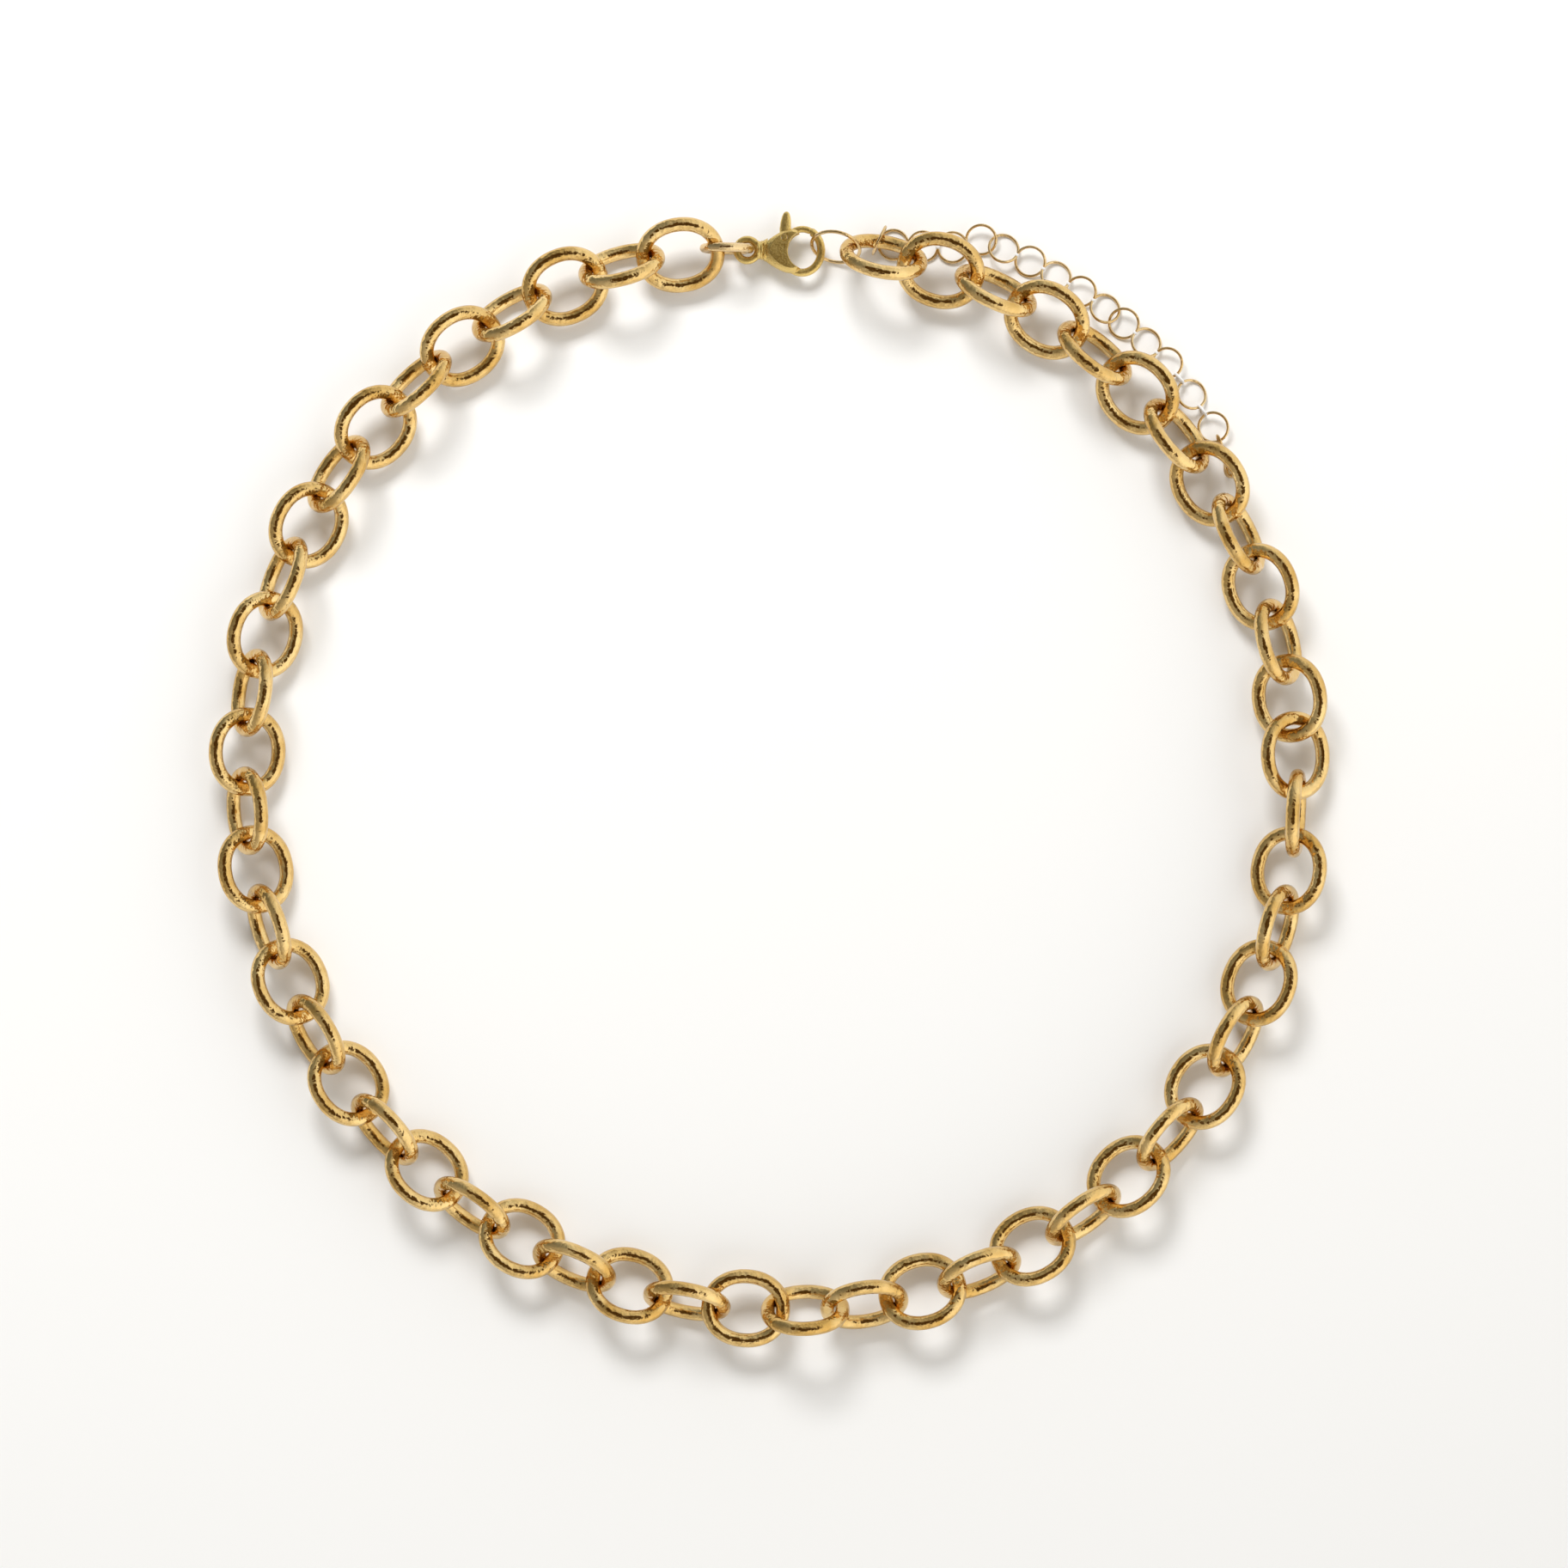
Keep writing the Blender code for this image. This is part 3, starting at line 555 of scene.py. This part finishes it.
pin_arc = [math.pi / 2 * i / 4 for i in range(4)]
half_pin = [(BODY_FLAT + PIN_DOME * math.sin(a), PIN_RADIUS * math.cos(a)) for a in pin_arc]
half_pin.append((BODY_FLAT + PIN_DOME, 0.0))
pin_profile = [(-along, radius) for along, radius in reversed(half_pin)] + half_pin
pin_shell = lathe(pin_profile, 24)
bmesh.ops.transform(pin_shell, matrix=Matrix.Rotation(-math.pi / 2, 4, "Y"), verts=pin_shell.verts)
pin_mesh = joined("pivot_pin", [pin_shell])
pin_mesh.transform(Matrix.Translation(joints["trigger_pivot"]) @ Matrix.Scale(MM, 4))
pin_mesh.materials.append(clasp_gold)
pin_mesh.polygons.foreach_set("use_smooth", [True] * len(pin_mesh.polygons))
settle(show("pivot_pin", pin_mesh), "clasp", "satin_gold", "clasp_pivot_pin")

# Trigger spring. A small coil of steel wire in the back of the slot, which pushes the trigger shut.
SPRING_TURNS = 4
SPRING_RADIUS = 0.3
SPRING_WIRE = 0.14

steel = bpy.data.materials.new("drawn_steel")
steel.use_nodes = True
steel_nodes = Tree(steel.node_tree)
steel_shader = steel.node_tree.nodes["Principled BSDF"]
steel_shader.inputs["Metallic"].default_value = 1
steel_shader.inputs["Base Color"].default_value = (0.62, 0.56, 0.46, 1)
steel_place = steel_nodes.add("ShaderNodeTexCoord").outputs["Object"]
steel_marks = steel_nodes.add("ShaderNodeTexNoise", {"Vector": steel_place, "Scale": 5200.0, "Detail": 2.0})
steel_rough = steel_nodes.add("ShaderNodeMapRange", {0: steel_marks.outputs[0], 3: 0.22, 4: 0.46})
steel.node_tree.links.new(steel_rough.outputs[0], steel_shader.inputs["Roughness"])
spring_low, spring_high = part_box("trigger_spring")
spring_start = Vector((spring_low.x + 0.0001, middle("trigger_spring").y, middle("trigger_spring").z))
spring_length = (spring_high.x - spring_low.x - 0.0002) / MM
coil = []
for i in range(SPRING_TURNS * 20 + 1):
    a = 2 * math.pi * i / 20
    coil.append(
        Vector((spring_length * i / (SPRING_TURNS * 20), SPRING_RADIUS * math.cos(a), SPRING_RADIUS * math.sin(a)))
    )
spring_mesh = joined("spring_coil", [rod_with_ends(coil, SPRING_WIRE / 2)])
spring_mesh.transform(Matrix.Translation(spring_start) @ Matrix.Scale(MM, 4))
spring_mesh.materials.append(steel)
spring_mesh.polygons.foreach_set("use_smooth", [True] * len(spring_mesh.polygons))
settle(show("spring_coil", spring_mesh), "clasp", "spring_steel", "trigger_spring")

# Trigger. A small casting on the pin: a round gate that closes the hook's mouth, and a thumb fin.
HUB_RADIUS = 0.95
GATE_ROD = 0.95
GATE_FROM, GATE_TO = 70, 118
FIN_PROFILE = ((0, 0), (0.1, 0.7), (1.2, 0.8), (2.2, 0.74), (2.9, 0.62), (3.4, 0.44), (3.62, 0.22), (3.7, 0))
FIN_FLATTEN = 0.65

gate = [on_eye(GATE_FROM + (GATE_TO - GATE_FROM) * i / 12) - PIVOT for i in range(13)] + [Vector((0, 0.2, 0))]
fin = lathe(FIN_PROFILE, flatten=FIN_FLATTEN)
bmesh.ops.transform(fin, matrix=Matrix.Rotation(math.radians(86), 4, "Z"), verts=fin.verts)
trigger = cast(
    "trigger_lever",
    [post(Vector((0, 0, 0)), HUB_RADIUS, 0.9), rod_with_ends(gate, GATE_ROD / 2), fin],
    [post(Vector((0, 0, 0)), 0.45, 8)],
    joints["trigger_pivot"],
    clasp_gold,
    0.06,
    3,
)
settle(trigger, "trigger", "satin_gold", "clasp_trigger")

# Catch ring. A closed ring of fine wire on the first link, big enough for the hook to snap over.
CATCH_DIAMETER = 7.2 * MM
CATCH_WIRE = 0.5 * MM
CATCH_TURN = (math.radians(58), math.radians(-17), 0)

catch = rings(
    "catch_ring_wire", [(middle("catch_ring"), CATCH_TURN)], CATCH_DIAMETER, CATCH_DIAMETER, CATCH_WIRE, fine_gold
)
settle(catch, "catch_ring", "fine_gold_wire", "catch_ring")

# Extender chain. Fine soldered rings, each joined to the next by a bead of solder; near the end two
# small connectors make longer steps. The first ring stands on the first link's outer wire.
RING_COUNT = 15
RUNS = ((0, 5), (5, 10), (10, 15))
RING_DIAMETER = 4.5 * MM
RING_WIRE = 0.4 * MM
CAD_RING_WIRE = 0.42 * MM
RING_OVERLAP = 0.02 * MM
RING_TILT = 20
RING_PLAY = 0.35 * MM
CHAIN_OFFSET = 6.2 * MM
LEAD_OUT = (0, 0.15, 0.4)
TURN_IN = 0.5 * MM
FLAT_RINGS = {1: (0, 0.28 * MM), 2: (6, 0.46 * MM), 3: (10, 0.68 * MM)}
CONNECTOR_AFTER = (12, 13)
CONNECTOR_DIAMETER = 2.0 * MM
CONNECTOR_SPAN = 1.4 * MM
FIRST_RING_TURN = -14
BEAD_RADIUS = 0.33


def extender_places(first):
    """Place and turn of every ring, from the first one's place."""
    radius = (RING_DIAMETER - CAD_RING_WIRE) / 2
    angle = math.atan2(first.x, first.y)
    start = first.xy.length - LOOP_RADIUS
    places = [(first, (math.pi / 2, 0, math.pi / 2 - angle + math.radians(FIRST_RING_TURN)))]
    lean = radius * math.sin(math.radians(RING_TILT)) + CAD_RING_WIRE / 2
    last_out = start
    for i in range(1, RING_COUNT):
        share = LEAD_OUT[i - 1] if i <= len(LEAD_OUT) else 1
        out = start + (CHAIN_OFFSET - start) * share
        out -= TURN_IN * max(0, i - CONNECTOR_AFTER[0])
        if i == 1:
            pitch = radius
        elif i in (first_of_run for first_of_run, _ in RUNS):
            pitch = 2 * radius - CAD_RING_WIRE - RING_PLAY
        else:
            pitch = 2 * radius - RING_OVERLAP + (CONNECTOR_SPAN if i - 1 in CONNECTOR_AFTER else 0)
        angle += math.sqrt(pitch**2 - (out - last_out) ** 2) / (LOOP_RADIUS + out)
        last_out = out
        tilt, height = FLAT_RINGS.get(i, (RING_TILT * (1 if i % 2 == 0 else -1), lean))
        places.append((on_loop(angle, out, height), (math.radians(tilt), 0, heading(angle))))
    return places


def solder_bead(place, material, name):
    """A small round bead of solder at the place."""
    bead = bmesh.new()
    bmesh.ops.create_icosphere(bead, subdivisions=3, radius=BEAD_RADIUS)
    mesh = joined(name, [bead])
    mesh.transform(Matrix.Translation(place) @ Matrix.Scale(MM, 4))
    mesh.materials.append(material)
    mesh.polygons.foreach_set("use_smooth", [True] * len(mesh.polygons))
    return mesh


def merged(piece, meshes):
    """Adds the meshes to the piece's own mesh."""
    whole = bmesh.new()
    whole.from_mesh(piece.data)
    for mesh in meshes:
        whole.from_mesh(mesh)
        bpy.data.meshes.remove(mesh)
    whole.to_mesh(piece.data)
    whole.free()


places = extender_places(joints["extender_swing"])
for number, (first, end) in enumerate(RUNS, 1):
    name = f"extender_{number}"
    run = rings(
        f"{name}_rings", places[first:end], RING_DIAMETER, RING_DIAMETER, RING_WIRE, fine_gold, steps=(64, 12)
    )
    extras = []
    for i in range(first + 1, end):
        between = (places[i][0] + places[i - 1][0]) / 2
        if i - 1 in CONNECTOR_AFTER:
            between.z = CONNECTOR_DIAMETER / 2
            small = rings(
                "connector",
                [(between, (math.pi / 2, 0, places[i][1][2]))],
                CONNECTOR_DIAMETER,
                CONNECTOR_DIAMETER,
                RING_WIRE,
                fine_gold,
                steps=(40, 12),
            )
            extras.append(small.data)
            bpy.data.objects.remove(small)
        elif i > 1:
            extras.append(solder_bead(between, fine_gold, "bead"))
    merged(run, extras)
    settle(run, name, "fine_gold_wire", name)

# Drop. A solid teardrop turned and polished bright, soldered to a small loop through the last ring.
DROP_LENGTH = 5.0
DROP_RADIUS = 1.35
DROP_LOOP = 1.9 * MM
DROP_LOOP_WIRE = 0.4 * MM
DROP_TURN = 12
DROP_PROFILE = (
    (0, 0), (0.005, 0.12), (0.03, 0.22), (0.12, 0.26), (0.25, 0.36), (0.4, 0.52), (0.55, 0.74), (0.68, 0.94),
    (0.78, 1.0), (0.86, 0.95), (0.93, 0.76), (0.975, 0.46), (0.995, 0.16), (1, 0),
)

last_ring, last_turn = places[-1]
drop_turn = last_turn[2] - math.radians(DROP_TURN)
ahead = Vector((math.cos(drop_turn), math.sin(drop_turn), 0))
loop_radius = (DROP_LOOP - DROP_LOOP_WIRE) / 2
reach = (RING_DIAMETER - CAD_RING_WIRE) / 2 + loop_radius - (CAD_RING_WIRE + DROP_LOOP_WIRE) / 2 - RING_PLAY
loop_at = last_ring + ahead * reach
loop_at.z = DROP_LOOP / 2
drop = rings(
    "teardrop", [(loop_at, (math.pi / 2, 0, drop_turn))], DROP_LOOP, DROP_LOOP, DROP_LOOP_WIRE, fine_gold, steps=(48, 12)
)
fall = math.asin((DROP_RADIUS * MM - loop_at.z) / (0.75 * DROP_LENGTH * MM))
neck = loop_at + ahead * (loop_radius - DROP_LOOP_WIRE / 4)
pear = joined("pear", [lathe([(x * DROP_LENGTH, r * DROP_RADIUS) for x, r in DROP_PROFILE], 64)])
pear.transform(
    Matrix.Translation(neck) @ Euler((0, -fall, drop_turn)).to_matrix().to_4x4() @ Matrix.Scale(MM, 4)
)
pear.materials.append(fine_gold)
pear.polygons.foreach_set("use_smooth", [True] * len(pear.polygons))
merged(drop, [pear])
settle(drop, "drop", "fine_gold_wire", "drop")

# Studio. A pale sweep of paper, a big soft key light from the upper side, a warm fill from below the
# loop, and a camera straight above with a long lens.
CAMERA_LENS = 100
CAMERA_SENSOR = 36
FRAME_WIDTH = 215.4 * MM
CAMERA_ROLL = math.radians(0.9)
AIM = Matrix.Rotation(CAMERA_ROLL, 3, "Z") @ Vector((1.42 * MM, -1.10 * MM, 0))
AIM_HEIGHT = 5 * MM


def softbox(name, place, size, power, colour):
    light = bpy.data.lights.new(name, "AREA")
    light.shape = "RECTANGLE"
    light.size, light.size_y = size
    light.energy = power
    light.color = colour
    lamp = bpy.data.objects.new(name, light)
    lamp.location = place
    lamp.rotation_euler = (-Vector(place)).to_track_quat("-Z", "Y").to_euler()
    lamp.visible_glossy = False
    bpy.context.scene.collection.objects.link(lamp)


floor_mesh = bpy.data.meshes.new("paper_sweep")
sheet = bmesh.new()
bmesh.ops.create_grid(sheet, x_segments=1, y_segments=1, size=1.5)
sheet.to_mesh(floor_mesh)
sheet.free()
floor = show("paper_sweep", floor_mesh)
paper = bpy.data.materials.new("pale_paper")
paper.use_nodes = True
paper_shader = paper.node_tree.nodes["Principled BSDF"]
paper_shader.inputs["Base Color"].default_value = (0.93, 0.93, 0.93, 1)
paper_shader.inputs["Roughness"].default_value = 0.9
floor_mesh.materials.append(paper)

softbox("key", (-0.15, 0.52, 0.52), (0.30, 0.22), 4.0, (1, 1, 1))

# The room's light, by direction: bright beside the loop's right, warm below it, dim above it, and a
# dark ceiling straight overhead that draws a brown line along the top of every wire.
RIGHT, LEFT = (2.2, 2.2, 2.15, 1), (0.36, 0.36, 0.36, 1)
TOP, BOTTOM = (0.06, 0.08, 0.07, 1), (0.62, 0.58, 0.52, 1)
CEILING = (0.09, 0.05, 0.012, 1)

world = bpy.data.worlds.new("studio")
bpy.context.scene.world = world
world.use_nodes = True
sky = Tree(world.node_tree)
toward = sky.add("ShaderNodeSeparateXYZ", {0: sky.add("ShaderNodeTexCoord").outputs["Generated"]})


def between(low, high, axis, start, end):
    """One colour passing into the other as the direction turns along an axis."""
    share = sky.add("ShaderNodeMapRange", {0: toward.outputs[axis], 1: start, 2: end}, interpolation_type="SMOOTHSTEP")
    mixed = sky.add("ShaderNodeMix", {"Factor": share.outputs[0]}, data_type="RGBA")
    for socket, colour in ((6, low), (7, high)):
        if isinstance(colour, tuple):
            mixed.inputs[socket].default_value = colour
        else:
            sky.tree.links.new(colour, mixed.inputs[socket])
    return mixed.outputs[2]


across = between(LEFT, RIGHT, 0, -0.7, 0.7)
along = between(BOTTOM, TOP, 1, -0.7, 0.7)
walls = sky.add("ShaderNodeMix", {"Factor": 0.5}, data_type="RGBA")
sky.tree.links.new(across, walls.inputs[6])
sky.tree.links.new(along, walls.inputs[7])
room = between(walls.outputs[2], CEILING, 2, 0.84, 0.92)
background = world.node_tree.nodes["Background"]
sky.tree.links.new(room, background.inputs["Color"])
background.inputs["Strength"].default_value = 1.0

lens = bpy.data.cameras.new("overhead")
lens.lens = CAMERA_LENS
lens.sensor_width = CAMERA_SENSOR
lens.clip_start = 0.01
camera = bpy.data.objects.new("overhead", lens)
camera.location = (AIM.x, AIM.y, AIM_HEIGHT + FRAME_WIDTH * CAMERA_LENS / CAMERA_SENSOR)
camera.rotation_euler = (0, 0, CAMERA_ROLL)
bpy.context.scene.collection.objects.link(camera)
bpy.context.scene.camera = camera
bpy.context.scene.view_settings.view_transform = "Standard"
